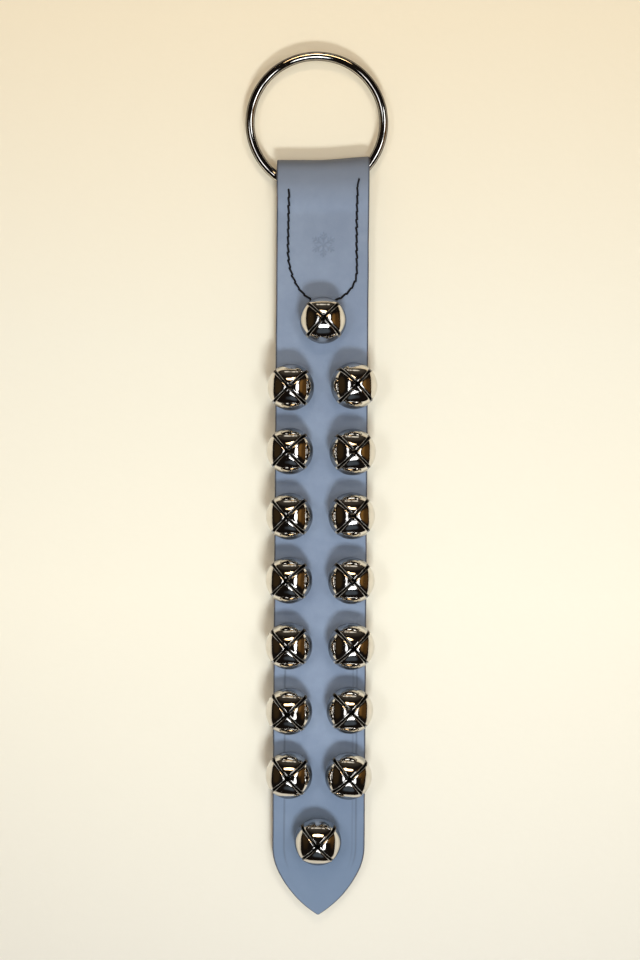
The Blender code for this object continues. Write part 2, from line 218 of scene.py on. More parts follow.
def skin_rings(bm, rings, closed=False):
    """Joins rings with equally many points into one skin. Returns its faces by row."""
    rows = [[bm.verts.new(point) for point in ring] for ring in rings]
    pairs = list(zip(rows, rows[1:]))
    if closed:
        pairs.append((rows[-1], rows[0]))
    faces = []
    for row, after in pairs:
        line = []
        for i in range(len(row)):
            j = (i + 1) % len(row)
            line.append(bm.faces.new((row[i], row[j], after[j], after[i])))
        faces.append(line)
    if not closed:
        bm.faces.new(rows[0])
        bm.faces.new(list(reversed(rows[-1])))
    return faces


def arc(centre, first, second, start, end, steps):
    turns = [lerp(start, end, share) for share in shares(steps)]
    return [centre + first * cos(turn) + second * sin(turn) for turn in turns]


def sweep(bm, path, radius, sides, lobes=0, lobe_height=0.0, twist=0.0):
    """A wire or a thread along a path. Lobes that turn along it make it look laid from strands."""
    rings = []
    tangent = (path[1] - path[0]).normalized()
    side = tangent.orthogonal().normalized()
    travelled = 0.0
    for i, point in enumerate(path):
        before = path[max(i - 1, 0)]
        after = path[min(i + 1, len(path) - 1)]
        new_tangent = (after - before).normalized()
        side.rotate(tangent.rotation_difference(new_tangent))
        tangent = new_tangent
        up = tangent.cross(side)
        travelled += (point - before).length
        ring = []
        for k in range(sides):
            turn = 2 * pi * k / sides
            reach = radius * (1 + lobe_height * cos(lobes * (turn - twist * travelled)))
            ring.append(point + side * reach * cos(turn) + up * reach * sin(turn))
        rings.append(ring)
    skin_rings(bm, rings)


def smooth_path(points, steps):
    """A Catmull-Rom curve through the points."""
    path = []
    for i in range(len(points) - 1):
        p0 = points[max(i - 1, 0)]
        p1 = points[i]
        p2 = points[i + 1]
        p3 = points[min(i + 2, len(points) - 1)]
        for k in range(steps):
            t = k / steps
            square = 2 * p0 - 5 * p1 + 4 * p2 - p3
            cube = 3 * p1 - p0 - 3 * p2 + p3
            path.append(0.5 * (2 * p1 + (p2 - p0) * t + square * t * t + cube * t * t * t))
    path.append(points[-1])
    return path


def stand_in(piece, node, body):
    """Puts a piece in the place of a CAD node, which it hides, on the body it rides on."""
    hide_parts(node)
    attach(piece, body)


# ---- Materials ----


class Nodes:
    """A node tree, built with short calls."""

    def __init__(self, tree):
        self.tree = tree

    def node(self, kind, settings=None, **inputs):
        made = self.tree.nodes.new(kind)
        for key, value in (settings or {}).items():
            setattr(made, key, value)
        self.fill(made, inputs)
        return made

    def fill(self, node, inputs):
        for key, value in inputs.items():
            self.put(node.inputs[key.replace("_", " ")], value)

    def put(self, socket, value):
        if isinstance(value, bpy.types.NodeSocket):
            self.tree.links.new(value, socket)
        else:
            socket.default_value = value

    def mix(self, share, first, second):
        made = self.node("ShaderNodeMix", {"data_type": "RGBA"})
        self.put(made.inputs[0], share)
        for socket, colour in ((made.inputs[6], first), (made.inputs[7], second)):
            self.put(socket, colour if isinstance(colour, bpy.types.NodeSocket) else (*colour, 1.0))
        return made.outputs[2]

    def ramp(self, value, low, high, to_low=0.0, to_high=1.0, shape="LINEAR"):
        made = self.node("ShaderNodeMapRange", {"interpolation_type": shape}, Value=value,
                         From_Min=low, From_Max=high, To_Min=to_low, To_Max=to_high)
        return made.outputs["Result"]


class Surface(Nodes):
    """A material, with its principled shader and the object's own coordinates at hand."""

    def __init__(self, name):
        self.material = bpy.data.materials.new(name)
        self.material.use_nodes = True
        super().__init__(self.material.node_tree)
        self.shader = self.tree.nodes["Principled BSDF"]
        self.place = self.node("ShaderNodeTexCoord").outputs["Object"]

    def shade(self, **inputs):
        self.fill(self.shader, inputs)

    def noise(self, scale, detail=3.0, roughness=0.5, vector=None, distortion=0.0):
        made = self.node("ShaderNodeTexNoise", Vector=vector or self.place, Scale=scale, Detail=detail,
                         Roughness=roughness, Distortion=distortion)
        return made.outputs["Fac"]

    def cells(self, scale):
        return self.node("ShaderNodeTexVoronoi", Vector=self.place, Scale=scale).outputs["Distance"]

    def stretch(self, x, y, z):
        return self.node("ShaderNodeMapping", Vector=self.place, Scale=(x, y, z)).outputs["Vector"]

    def math(self, operation, a, b=0.0):
        made = self.node("ShaderNodeMath", {"operation": operation})
        self.put(made.inputs[0], a)
        self.put(made.inputs[1], b)
        return made.outputs[0]

    def bump(self, height, distance, strength=1.0, normal=None):
        made = self.node("ShaderNodeBump", Height=height, Distance=distance, Strength=strength)
        if normal is not None:
            self.put(made.inputs["Normal"], normal)
        return made.outputs["Normal"]

    def attribute(self, name):
        return self.node("ShaderNodeAttribute", {"attribute_name": name}).outputs["Fac"]

    def split(self, vector):
        return self.node("ShaderNodeSeparateXYZ", Vector=vector).outputs


def leather_grain():
    """The dyed, smooth grain side: fine pores, drawn lines, soft mottling and darker burnished edges."""
    s = Surface("leather_grain_side")
    cloud = s.noise(28.0, 4.0, 0.55)
    mottle = s.noise(160.0, 5.0, 0.6)
    speck = s.noise(1500.0, 2.0, 0.6)
    colour = s.mix(s.ramp(cloud, 0.35, 0.65), (0.233, 0.290, 0.412), (0.277, 0.341, 0.470))
    colour = s.mix(s.ramp(mottle, 0.3, 0.75, 0.0, 0.35), colour, (0.195, 0.25, 0.365))
    colour = s.mix(s.ramp(speck, 0.55, 0.8, 0.0, 0.22), colour, (0.33, 0.40, 0.50))
    height = s.split(s.place)["Z"]
    tip = s.ramp(height, -0.31, -0.38, 0.0, 0.75)
    colour = s.mix(tip, colour, (0.13, 0.185, 0.28))
    # Painted shade at the top of the strap: a little darker over its upper 100 mm, and darker and greyer
    # on the fold's top, which faces away from the main light below.
    fold_top_shade = s.math("ADD", s.ramp(height, -0.10, -0.02, 0.0, 0.2),
                     s.ramp(height, -0.026, -0.002, 0.0, 0.62))
    colour = s.mix(fold_top_shade, colour, (0.145, 0.155, 0.18))
    edge = s.attribute("edge")
    uneven = s.ramp(s.noise(220.0, 3.0), 0.3, 0.7, 0.75, 1.1)
    burnished = s.math("MULTIPLY", s.math("POWER", edge, 3.0), uneven)
    colour = s.mix(burnished, colour, (0.045, 0.055, 0.085))
    # Painted dark along the creases and the stamp's lines: partly the pressed leather's own tone, partly
    # painted shade in their grooves.
    rub = s.attribute("rub")
    colour = s.mix(s.math("MULTIPLY", rub, 0.8), colour, (0.11, 0.14, 0.19))
    lines = s.noise(420.0, 3.0, 0.6, s.stretch(1.0, 1.0, 0.22), 0.6)
    pores = s.ramp(s.cells(1150.0), 0.0, 0.35)
    relief = s.math("ADD", s.math("MULTIPLY", pores, 0.5), s.math("MULTIPLY", lines, 0.9))
    fine = s.bump(relief, 0.045 * MM, 0.8)
    broad = s.bump(mottle, 0.12 * MM, 0.5, fine)
    rough = s.ramp(mottle, 0.3, 0.7, 0.5, 0.62)
    s.shade(Base_Color=colour, Roughness=rough, Normal=broad, Specular_IOR_Level=0.42)
    return s.material


def leather_edge():
    """The cut edge, dyed dark and burnished, with the layers of the hide just showing."""
    s = Surface("leather_cut_edge")
    layers = s.noise(900.0, 3.0, 0.6, s.stretch(1.0, 1.0, 0.15))
    patch = s.noise(70.0, 3.0)
    colour = s.mix(s.ramp(layers, 0.35, 0.7), (0.050, 0.058, 0.082), (0.105, 0.115, 0.145))
    colour = s.mix(s.ramp(patch, 0.55, 0.7, 0.0, 0.5), colour, (0.19, 0.12, 0.085))
    s.shade(Base_Color=colour, Roughness=0.45, Normal=s.bump(layers, 0.12 * MM, 0.8))
    return s.material


def leather_flesh():
    """The undyed flesh side: pale tan, matt and fibrous."""
    s = Surface("leather_flesh_side")
    fibre = s.noise(1400.0, 5.0, 0.7, s.stretch(1.0, 1.0, 0.35), 1.2)
    nap = s.noise(260.0, 6.0, 0.65)
    cloud = s.noise(30.0, 4.0)
    colour = s.mix(s.ramp(cloud, 0.3, 0.7), (0.33, 0.235, 0.155), (0.42, 0.315, 0.215))
    colour = s.mix(s.ramp(fibre, 0.35, 0.75, 0.0, 0.6), colour, (0.52, 0.42, 0.31))
    colour = s.mix(s.ramp(nap, 0.45, 0.8, 0.0, 0.45), colour, (0.21, 0.15, 0.10))
    stain = s.math("POWER", s.attribute("edge"), 2.0)
    colour = s.mix(s.math("MULTIPLY", stain, 0.85), colour, (0.10, 0.10, 0.12))
    normal = s.bump(fibre, 0.16 * MM, 0.9, s.bump(nap, 0.25 * MM, 0.6))
    s.shade(Base_Color=colour, Roughness=0.92, Normal=normal)
    s.shade(Specular_IOR_Level=0.15, Sheen_Weight=0.25, Sheen_Roughness=0.6)
    return s.material


def thread_black():
    s = Surface("thread_waxed_black")
    fuzz = s.noise(2600.0, 4.0, 0.7)
    colour = s.mix(s.ramp(fuzz, 0.35, 0.8), (0.005, 0.005, 0.006), (0.022, 0.021, 0.023))
    rough = s.ramp(fuzz, 0.3, 0.7, 0.5, 0.75)
    s.shade(Base_Color=colour, Roughness=rough, Normal=s.bump(fuzz, 0.08 * MM, 0.8),
            Specular_IOR_Level=0.25)
    return s.material


def nickel_plate(name, rim_starts, rim_full, rim_shade_colour):
    """Bright nickel plate: near mirror, with faint haze, fine scratches and a trace of orange peel.

    Its colour is painted darker towards its outline, as a painted reflection of its own shade on the
    leather or the wall beside it. Past the strap's edges this is much weaker.
    """
    s = Surface(name)
    haze = s.noise(210.0, 5.0, 0.6)
    peel = s.noise(330.0, 2.0, 0.5)
    scratch = s.noise(900.0, 3.0, 0.75, s.stretch(0.12, 1.0, 1.6), 0.4)
    colour = s.mix(s.ramp(haze, 0.4, 0.75), (0.775, 0.735, 0.675), (0.66, 0.615, 0.55))
    facing = s.node("ShaderNodeLayerWeight", Blend=0.5).outputs["Facing"]
    # Painted shade at the outline: a painted reflection of the shade beside the metal, much weaker past
    # the strap's edges.
    rim = s.ramp(facing, rim_starts, rim_full)
    where = s.split(s.node("ShaderNodeNewGeometry").outputs["Position"])
    off_middle = s.math("ABSOLUTE", where["X"])
    past_edge = s.ramp(off_middle, STRAP_HALF - 1.5 * MM, STRAP_HALF + 1.5 * MM)
    below_ring = s.ramp(where["Z"], FOLD_TOP.z, FOLD_TOP.z - 20 * MM)
    over_wall = s.math("MULTIPLY", past_edge, below_ring)
    rim = s.math("MULTIPLY", rim, s.ramp(over_wall, 0.0, 1.0, 1.0, 0.12))
    colour = s.mix(rim, colour, rim_shade_colour)
    marks = s.ramp(scratch, 0.62, 0.72, 0.0, 0.10)
    rough = s.math("ADD", s.ramp(haze, 0.35, 0.8, 0.035, 0.11), marks)
    normal = s.bump(peel, 0.035 * MM, 0.55, s.bump(scratch, 0.006 * MM, 0.5))
    s.shade(Base_Color=colour, Metallic=1.0, Roughness=rough, Normal=normal)
    return s.material


def shell_inside():
    """The inside of a shell, painted dark: painted shade for the hollow, which takes in little light
    through the slits.
    """
    s = Surface("shell_inside_dark")
    stain = s.noise(500.0, 4.0, 0.6)
    colour = s.mix(s.ramp(stain, 0.35, 0.7), (0.05, 0.044, 0.038), (0.085, 0.075, 0.065))
    s.shade(Base_Color=colour, Metallic=0.5, Roughness=s.ramp(stain, 0.3, 0.7, 0.5, 0.7))
    return s.material


def shell_rim():
    """The sheared edges of the petals and their faces along the slits: a pale colour that is a painted
    highlight, dull and dark in places.
    """
    s = Surface("shell_rim_bright")
    burr = s.noise(1800.0, 3.0, 0.6)
    colour = s.mix(s.ramp(burr, 0.35, 0.7), (0.86, 0.83, 0.78), (0.62, 0.59, 0.54))
    dull = s.ramp(s.noise(230.0, 2.0), 0.42, 0.58, 0.15, 0.9)
    colour = s.mix(dull, colour, (0.11, 0.095, 0.08))
    s.shade(Base_Color=colour, Metallic=0.4, Roughness=0.34, Normal=s.bump(burr, 0.03 * MM, 0.6))
    return s.material


def wire_steel():
    s = Surface("wire_galvanised_steel")
    drawn = s.noise(700.0, 4.0, 0.6)
    spangle = s.cells(900.0)
    colour = s.mix(s.ramp(drawn, 0.35, 0.7), (0.50, 0.49, 0.47), (0.34, 0.335, 0.33))
    rough = s.ramp(spangle, 0.1, 0.6, 0.3, 0.48)
    s.shade(Base_Color=colour, Metallic=1.0, Roughness=rough, Normal=s.bump(drawn, 0.03 * MM, 0.6))
    return s.material


def pellet_steel():
    s = Surface("pellet_dull_steel")
    pits = s.noise(1300.0, 4.0, 0.65)
    colour = s.mix(s.ramp(pits, 0.4, 0.7), (0.30, 0.29, 0.28), (0.19, 0.175, 0.16))
    s.shade(Base_Color=colour, Metallic=1.0, Roughness=s.ramp(pits, 0.3, 0.7, 0.34, 0.55),
            Normal=s.bump(pits, 0.05 * MM, 0.6))
    return s.material


THREAD = thread_black()
RING_NICKEL = nickel_plate("nickel_plate_ring", 0.26, 0.5, (0.055, 0.048, 0.042))
WIRE = wire_steel()
PELLET = pellet_steel()

# The strap's and a shell's materials, and the places of some of them
STRAP_FINISHES = (leather_grain(), leather_edge(), leather_flesh())
CUT_EDGE_SLOT = 1
FLESH_SLOT = 2
SHELL_FINISHES = (nickel_plate("nickel_plate_shell", 0.48, 0.8, (0.10, 0.09, 0.08)),
                  shell_inside(), shell_rim())
SHELL_INSIDE_SLOT = 1
SHELL_RIM_SLOT = 2


# ---- The bells' places, from the frame's joints ----


class Bell:
    """Where one bell hangs. Its own origin is on the retaining wire, and its front faces -Y."""

    def __init__(self, number):
        self.name = f"bell_{number:02d}"
        rock = JOINTS[f"{self.name}_rock"]
        up = Vector(JOINTS[f"{self.name}_pellet_rattle"]["axis"]).normalized()
        middle = radians(sum(rock["range_deg"]) / 2)
        self.in_column = abs(rock["axis"][2]) > 0.5
        self.pivot = Vector(rock["pos_m"]) - FOLD_TOP
        tip = atan2(copysign(hypot(up.x, up.y), up.y), up.z)
        lean = -middle
        if not self.in_column:
            lean = atan2(-up.x / sin(tip), up.y / sin(tip))
        turn = Matrix.Rotation(lean, 4, "Z") @ Matrix.Rotation(-tip, 4, "X")
        self.matrix = Matrix.Translation(self.pivot) @ turn


BELLS = [Bell(number) for number in range(1, 17)]
BELL_TURNS = (-1, 2, -1, 1, 0, 0, -2, 2, 1, -1, 2, 3, 0, 4, 5, 2)  # degrees about its own axis
BELL_BACK_Y = -(BELLS[0].pivot.y + LEATHER + BELL_STANDOFF)


# ---- The strap ----


def pocket_half_gap(z):
    """Half of the space between the two layers at this height, below the fold's round top."""
    closed = LAYER_GAP / 2
    if z <= POCKET_CLOSED_AT:
        return closed
    if z >= POCKET_STRAIGHT_TO:
        return FOLD_HALF_GAP
    done = (POCKET_STRAIGHT_TO - z) / (POCKET_STRAIGHT_TO - POCKET_CLOSED_AT)
    return closed + (FOLD_HALF_GAP - closed) * (0.5 + 0.5 * cos(pi * done))


def fold_rise(x, z):
    fade = smoothstep(FOLD_RISE_ENDS_AT, 0.0, z)
    return FOLD_RISE * smoothstep(-0.25 * STRAP_HALF, 1.1 * STRAP_HALF, x) * fade


def point_half_width(height):
    """Half of the strap's width at this height above its tip: two tangent arcs on each side."""
    turned_x = SHOULDER_RADIUS * (1 - cos(SHOULDER_TURN))
    turned_z = SHOULDER_RADIUS * sin(SHOULDER_TURN)
    full = turned_z + FLANK_RADIUS * (sin(POINT_TURN) - sin(SHOULDER_TURN))
    drop = full - height
    if drop <= 0:
        return STRAP_HALF
    if drop <= turned_z:
        return STRAP_HALF - SHOULDER_RADIUS + sqrt(SHOULDER_RADIUS**2 - drop**2)
    sine = (drop - turned_z) / FLANK_RADIUS + sin(SHOULDER_TURN)
    flank = FLANK_RADIUS * (cos(SHOULDER_TURN) - sqrt(1 - sine * sine))
    return STRAP_HALF - turned_x - flank


def tail_half_width(z, least):
    """The tail ends in a half circle."""
    end_drop = max(TAIL_END_Z + STRAP_HALF - z, 0.0)
    return sqrt(max(STRAP_HALF**2 - end_drop**2, least**2))


def spaced(start, end, step):
    """Values from start up to, but without, end."""
    count = max(1, round(abs(end - start) / step))
    return [lerp(start, end, share) for share in shares(count)[:-1]]


PLAIN_STEP = 2.0 * MM
FOLD_STEP = 0.8 * MM
MARKED_STEP = 0.55 * MM
FOLD_CENTRE_Z = -LEATHER - FOLD_HALF_GAP


def front_heights():
    """Heights of the stations up the front layer, close together where the surface has fine shape."""
    point_top = STRAP_TIP_Z + POINT_LENGTH
    below_seam = SEAM_BOTTOM - 3.4 * MM
    heights = [STRAP_TIP_Z + POINT_LENGTH * share**1.6 for share in shares(44)[:-1]]
    heights += spaced(point_top, below_seam, PLAIN_STEP)
    heights += spaced(below_seam, POCKET_STRAIGHT_TO, MARKED_STEP)
    heights += spaced(POCKET_STRAIGHT_TO, FOLD_CENTRE_Z, FOLD_STEP)
    return heights


def tail_heights():
    heights = spaced(FOLD_CENTRE_Z, POCKET_CLOSED_AT, FOLD_STEP)
    heights += spaced(POCKET_CLOSED_AT, TAIL_END_Z + STRAP_HALF, MARKED_STEP)
    heights += [TAIL_END_Z + STRAP_HALF * (1 - sin(pi / 2 * share)) for share in shares(46)]
    return heights


def strap_stations():
    """(y, z, half width, is on the tail) of the inner face, from the point to the tail's end."""
    stations = []
    for z in front_heights():
        stations.append((MIDDLE_Y - pocket_half_gap(z), z, point_half_width(z - STRAP_TIP_Z), False))
    top_steps = 26
    for i in range(top_steps):
        turn = pi * i / top_steps
        y = MIDDLE_Y - FOLD_HALF_GAP * cos(turn)
        z = FOLD_CENTRE_Z + FOLD_HALF_GAP * sin(turn)
        stations.append((y, z, STRAP_HALF, i > top_steps / 2))
    for z in tail_heights():
        stations.append((MIDDLE_Y + pocket_half_gap(z), z, tail_half_width(z, 1.2 * MM), True))
    return stations


def seam_plan():
    """Points (x, z) down the left side of the seam, round its bottom and up its right side."""
    left_x, left_curve = SEAM_LEFT
    right_x, right_curve = SEAM_RIGHT
    top_in = 0.4 * MM  # the left side comes in by this much at its top
    bow = 0.3 * MM  # the right side bows in by this much half-way up
    sides = 12
    bends = 24
    plan = []
    for share in shares(sides)[:-1]:
        plan.append((-left_x + top_in * (1 - share) ** 2, lerp(SEAM_TOP_LEFT, left_curve, share)))
    for i in range(bends):
        turn = pi / 2 * i / bends
        plan.append((-left_x * cos(turn), lerp(left_curve, SEAM_BOTTOM, sin(turn))))
    for i in range(bends):
        turn = pi / 2 * (1 - i / bends)
        plan.append((right_x * cos(turn), lerp(right_curve, SEAM_BOTTOM, sin(turn))))
    for share in shares(sides):
        plan.append((right_x - bow * sin(pi * share), lerp(right_curve, SEAM_TOP_RIGHT, share)))
    return [Vector((x, z)) for x, z in plan]


def walk(plan, step):
    """Points at equal steps along a plan curve, from its first point to its last."""
    whole = sum((b - a).length for a, b in zip(plan, plan[1:]))
    step = 0.99999 * whole / round(whole / step)
    points = [plan[0].copy()]
    left_over = step
    for a, b in zip(plan, plan[1:]):
        length = (b - a).length
        reached = 0.0
        while length - reached >= left_over:
            reached += left_over
            points.append(a.lerp(b, reached / length))
            left_over = step
        left_over -= length - reached
    return points


SEAM = seam_plan()
SEAM_HOLES = walk(SEAM, STITCH)


def distance_to_segments(point, points):
    nearest = 1.0
    for a, b in zip(points, points[1:]):
        along = b - a
        share = min(max((point - a).dot(along) / along.length_squared, 0.0), 1.0)
        nearest = min(nearest, (point - a - along * share).length)
    return nearest


def stamp_lines():
    """A plain snow crystal: six arms, each with two pairs of twigs."""
    lines = []
    for arm in range(6):
        out = Vector((sin(pi / 3 * arm), cos(pi / 3 * arm)))
        lines.append((STAMP_CENTRE, STAMP_CENTRE + out * STAMP_ARM))
        for start, length in ((0.45, 0.32), (0.7, 0.24)):
            root = STAMP_CENTRE + out * STAMP_ARM * start
            for side in (-1, 1):
                turn = side * radians(55)
                twig = Vector((out.x * cos(turn) - out.y * sin(turn),
                               out.x * sin(turn) + out.y * cos(turn)))
                lines.append((root, root + twig * STAMP_ARM * length))
    return lines


STAMP = stamp_lines()


def stamp_share(place, full_within, gone_beyond):
    """1 on the stamp's lines, and 0 away from them."""
    if (place - STAMP_CENTRE).length > STAMP_ARM + MARK_MARGIN:
        return 0.0
    to_line = min(distance_to_segments(place, line) for line in STAMP)
    return 1 - smoothstep(full_within, gone_beyond, to_line)


def front_relief(x, z, half_width):
    """How far the grain side is pressed in at this place."""
    place = Vector((x, z))
    depth = 0.0
    if SEAM_BOTTOM - MARK_MARGIN < z < SEAM_TOP_RIGHT + MARK_MARGIN:
        to_seam = distance_to_segments(place, SEAM)
        depth += SEAM_GROOVE_DEPTH * bell_curve(to_seam, SEAM_GROOVE_WIDTH)
        to_hole = min((place - hole).length for hole in SEAM_HOLES)
        depth += STITCH_HOLE_DEPTH * bell_curve(to_hole, STITCH_HOLE_WIDTH)
    depth += STAMP_DEPTH * stamp_share(place, 0.22 * MM, 0.5 * MM)
    depth += CREASE_DEPTH * crease_share(x, z, half_width)
    wave = noise.noise(Vector((x / (22 * MM), 0.3, z / (30 * MM))))
    return depth + 0.16 * MM * wave


def crease_share(x, z, half_width):
    """The faint lines ruled along the lower edges of the strap."""
    if not CREASE_BOTTOM < z < CREASE_TOP:
        return 0.0
    fade = smoothstep(CREASE_TOP, CREASE_TOP - 25 * MM, z)
    fade *= smoothstep(CREASE_BOTTOM, CREASE_BOTTOM + 12 * MM, z)
    share = 0.0
    for side, inset, strength in CREASES:
        from_line = x - side * (half_width - inset * MM)
        share += strength * bell_curve(from_line, CREASE_WIDTH)
    return share * fade


# Across the front face, as (where a zone starts, its columns' spacing) in mm: the side, the seam,
# plain leather, the stamp, plain leather, the seam and the other side
FLAT_HALF = STRAP_HALF - EDGE_ROUND
ZONES = ((-FLAT_HALF / MM, 0.9), (-21.5, 0.45), (-16.6, 1.1), (-7.5, 0.32), (7.9, 1.1), (16.8, 0.45),
         (21.5, 0.9), (FLAT_HALF / MM, None))


def outer_columns(half):
    """Places across the front face, close together at the stamp, the seam and the creases."""
    places = []
    for (start, step), (end, _) in zip(ZONES, ZONES[1:]):
        places += spaced(start * MM, end * MM, step * MM)
    places.append(FLAT_HALF)
    squeeze = (half - EDGE_ROUND) / FLAT_HALF
    return [x * squeeze for x in places]


EDGE_TURNS = [radians(turn) for turn in (25, 50, 75)]
EDGE_POINTS = 2 * len(EDGE_TURNS) + 1
INNER_POINTS = 24


def strap_ring(station, normal):
    """One cross-section: the outer face, one edge, back across the inner face, and the other edge.

    Returns its points, and how many of them are on the outer face.
    """
    y, z, half, on_tail = station
    edge = min(EDGE_ROUND, 0.6 * half)
    flat = half - edge
    points = []

    def put(x, thickness):
        wave = 0.12 * MM * noise.noise(Vector((z / (14 * MM), x * 40, 1.7)))
        place = Vector((x, y + normal.x * thickness, z + normal.y * thickness + fold_rise(x, z)))
        points.append(place + Vector((wave * abs(x) / STRAP_HALF, 0.0, 0.0)))

    columns = outer_columns(half if half > 3 * EDGE_ROUND else half + EDGE_ROUND - edge)
    for x in columns:
        sunk = 0.0 if on_tail else front_relief(x, z, half)
        put(x, LEATHER - sunk)
    corner = [(flat + edge * sin(turn), edge - edge * cos(turn)) for turn in EDGE_TURNS]
    for x, thickness in corner:
        put(x, LEATHER - thickness)
    put(half, 0.5 * LEATHER)
    for x, thickness in reversed(corner):
        put(x, thickness)
    for i in range(INNER_POINTS):
        put(lerp(flat, -flat, i / (INNER_POINTS - 1)), 0.0)
    for x, thickness in corner:
        put(-x, thickness)
    put(-half, 0.5 * LEATHER)
    for x, thickness in reversed(corner):
        put(-x, LEATHER - thickness)
    return points, len(columns)


def build_strap():
    stations = strap_stations()
    rings = []
    columns = 0
    for i, station in enumerate(stations):
        before = stations[max(i - 1, 0)]
        after = stations[min(i + 1, len(stations) - 1)]
        along = Vector((after[0] - before[0], after[1] - before[1])).normalized()
        ring, columns = strap_ring(station, Vector((-along.y, along.x)))
        rings.append(ring)
    first_inner = columns + EDGE_POINTS
    last_inner = first_inner + INNER_POINTS - 2
    bm = bmesh.new()
    for line in skin_rings(bm, rings):
        for i, face in enumerate(line):
            if first_inner <= i <= last_inner:
                face.material_index = FLESH_SLOT
            elif i >= columns - 1:
                face.material_index = CUT_EDGE_SLOT
    strap = closed_skin(bm, "leather_strap", STRAP_FINISHES)
    cut_slots(strap)
    paint_strap(strap.data)
    stand_in(strap, "strap", "strap_body")


def cut_slots(strap):
    """Cuts the slot of each shank, level in the columns and upright in the middle."""
    bm = bmesh.new()
    for bell in BELLS:
        across, up = (SLOT_LENGTH, SLOT_WIDTH) if bell.in_column else (SLOT_WIDTH, SLOT_LENGTH)
        place = Matrix.Translation((bell.pivot.x, 0.0, bell.pivot.z))
        size = Matrix.Diagonal((across, 3 * LEATHER, up, 1.0))
        bmesh.ops.create_cube(bm, size=1.0, matrix=place @ size)
    for face in bm.faces:
        face.material_index = CUT_EDGE_SLOT
    cutter = add_object("slot_cutter", mesh_from(bm, "slot_cutter", STRAP_FINISHES, smooth=False))
    modifier = strap.modifiers.new("Slots", "BOOLEAN")
    modifier.operation = "DIFFERENCE"
    modifier.solver = "EXACT"
    modifier.object = cutter
    apply_modifiers(strap)
    bpy.data.objects.remove(cutter, do_unlink=True)


def apply_modifiers(obj):
    bpy.context.view_layer.update()
    graph = bpy.context.evaluated_depsgraph_get()
    mesh = bpy.data.meshes.new_from_object(obj.evaluated_get(graph))
    obj.modifiers.clear()
    obj.data = mesh


def paint_strap(mesh):
    """Marks how near each point is to the outline, and where the creases and the stamp are painted dark:
    partly the pressed leather's own tone, partly painted shade in their grooves.
    """
    edge = []
    rub = []
    for vertex in mesh.vertices:
        x, y, z = vertex.co
        on_tail = y > LEATHER
        half = tail_half_width(z, 0.0) if on_tail else point_half_width(z - STRAP_TIP_Z)
        edge.append(1 - smoothstep(*EDGE_BAND, half - abs(x)))
        dark = 0.0
        if not on_tail and y < MIDDLE_Y:
            dark += 0.9 * crease_share(x, z, half)
            dark += 0.34 * stamp_share(Vector((x, z)), 0.2 * MM, 0.6 * MM)
        rub.append(min(dark, 1.0))
    for name, values in (("edge", edge), ("rub", rub)):
        mesh.attributes.new(name, "FLOAT", "POINT").data.foreach_set("value", values)


# ---- Stitches ----


def leather_face_y(x, z, side):
    """The y of the outer face of the front layer (side -1) or of the tail (side +1)."""
    level = z - fold_rise(x, z)
    slope = (pocket_half_gap(level + 0.5 * MM) - pocket_half_gap(level - 0.5 * MM)) / MM
    return MIDDLE_Y + side * (pocket_half_gap(level) + LEATHER * sqrt(1 + slope * slope))


def build_stitches(name, node, side):
    """Lockstitches: each rises out of one hole, lies over the leather and goes down the next."""
    bm = bmesh.new()
    for a, b in zip(SEAM_HOLES, SEAM_HOLES[1:]):
        across = Vector((-(b - a).y, (b - a).x)).normalized()
        slant = 0.32 * MM + DICE.uniform(-0.12, 0.12) * MM
        start = a + across * slant * side
        end = b - across * slant * side
        path = []
        for share in shares(12):
            place = start.lerp(end, share)
            rise = THREAD_RADIUS * (1.55 * sin(pi * share) ** 0.45 - 1.05)
            y = leather_face_y(place.x, place.y, side) + side * rise
            path.append(Vector((place.x, y, place.y)))
        sweep(bm, path, THREAD_RADIUS, 14, lobes=3, lobe_height=0.10, twist=THREAD_TWIST)
    if side < 0:
        loose_thread_end(bm)
    stand_in(closed_skin(bm, name, (THREAD,)), node, "strap_body")


def loose_thread_end(bm):
    """The last stitch on the right ends in a short tail that lies up the leather."""
    start = SEAM_HOLES[-1]
    path = []
    for share in shares(10):
        x = start.x + 0.9 * MM * share**2
        z = start.y + 4.6 * MM * share
        lift = THREAD_RADIUS * (0.75 - 0.9 * (1 - share) ** 4)
        path.append(Vector((x, leather_face_y(x, z, -1) - lift, z)))
    sweep(bm, path, 0.9 * THREAD_RADIUS, 12, lobes=3, lobe_height=0.12, twist=THREAD_TWIST)


# ---- The ring ----


def build_ring():
    """A round wire ring. The low bead of its weld, ground thinner beside it, is by the fold's left end."""
    centre = (ring_low + ring_high) / 2 - FOLD_TOP + RING_SLID
    wire = (ring_high.y - ring_low.y) / 2
    radius = (ring_high.x - ring_low.x) / 2 - wire
    weld_turn = radians(-128)
    back = Vector((0.0, 1.0, 0.0))
    around = 220
    sides = 28
    rings = []
    for i in range(around):
        turn = 2 * pi * i / around
        out = Vector((cos(turn), 0.0, sin(turn)))
        from_weld = (turn - weld_turn + pi) % (2 * pi) - pi
        bead = 1 + 0.055 * bell_curve(from_weld * radius, 1.1 * MM)
        bead -= 0.02 * bell_curve(abs(from_weld) * radius - 2.4 * MM, 0.8 * MM)
        reach = wire * bead
        ring = []
        for k in range(sides):
            angle = 2 * pi * k / sides
            ring.append(centre + out * (radius + reach * cos(angle)) + back * reach * sin(angle))
        rings.append(ring)
    bm = bmesh.new()
    skin_rings(bm, rings, closed=True)
    stand_in(closed_skin(bm, "welded_ring", (RING_NICKEL,)), "hanging_ring", "ring")


# ---- The bells ----


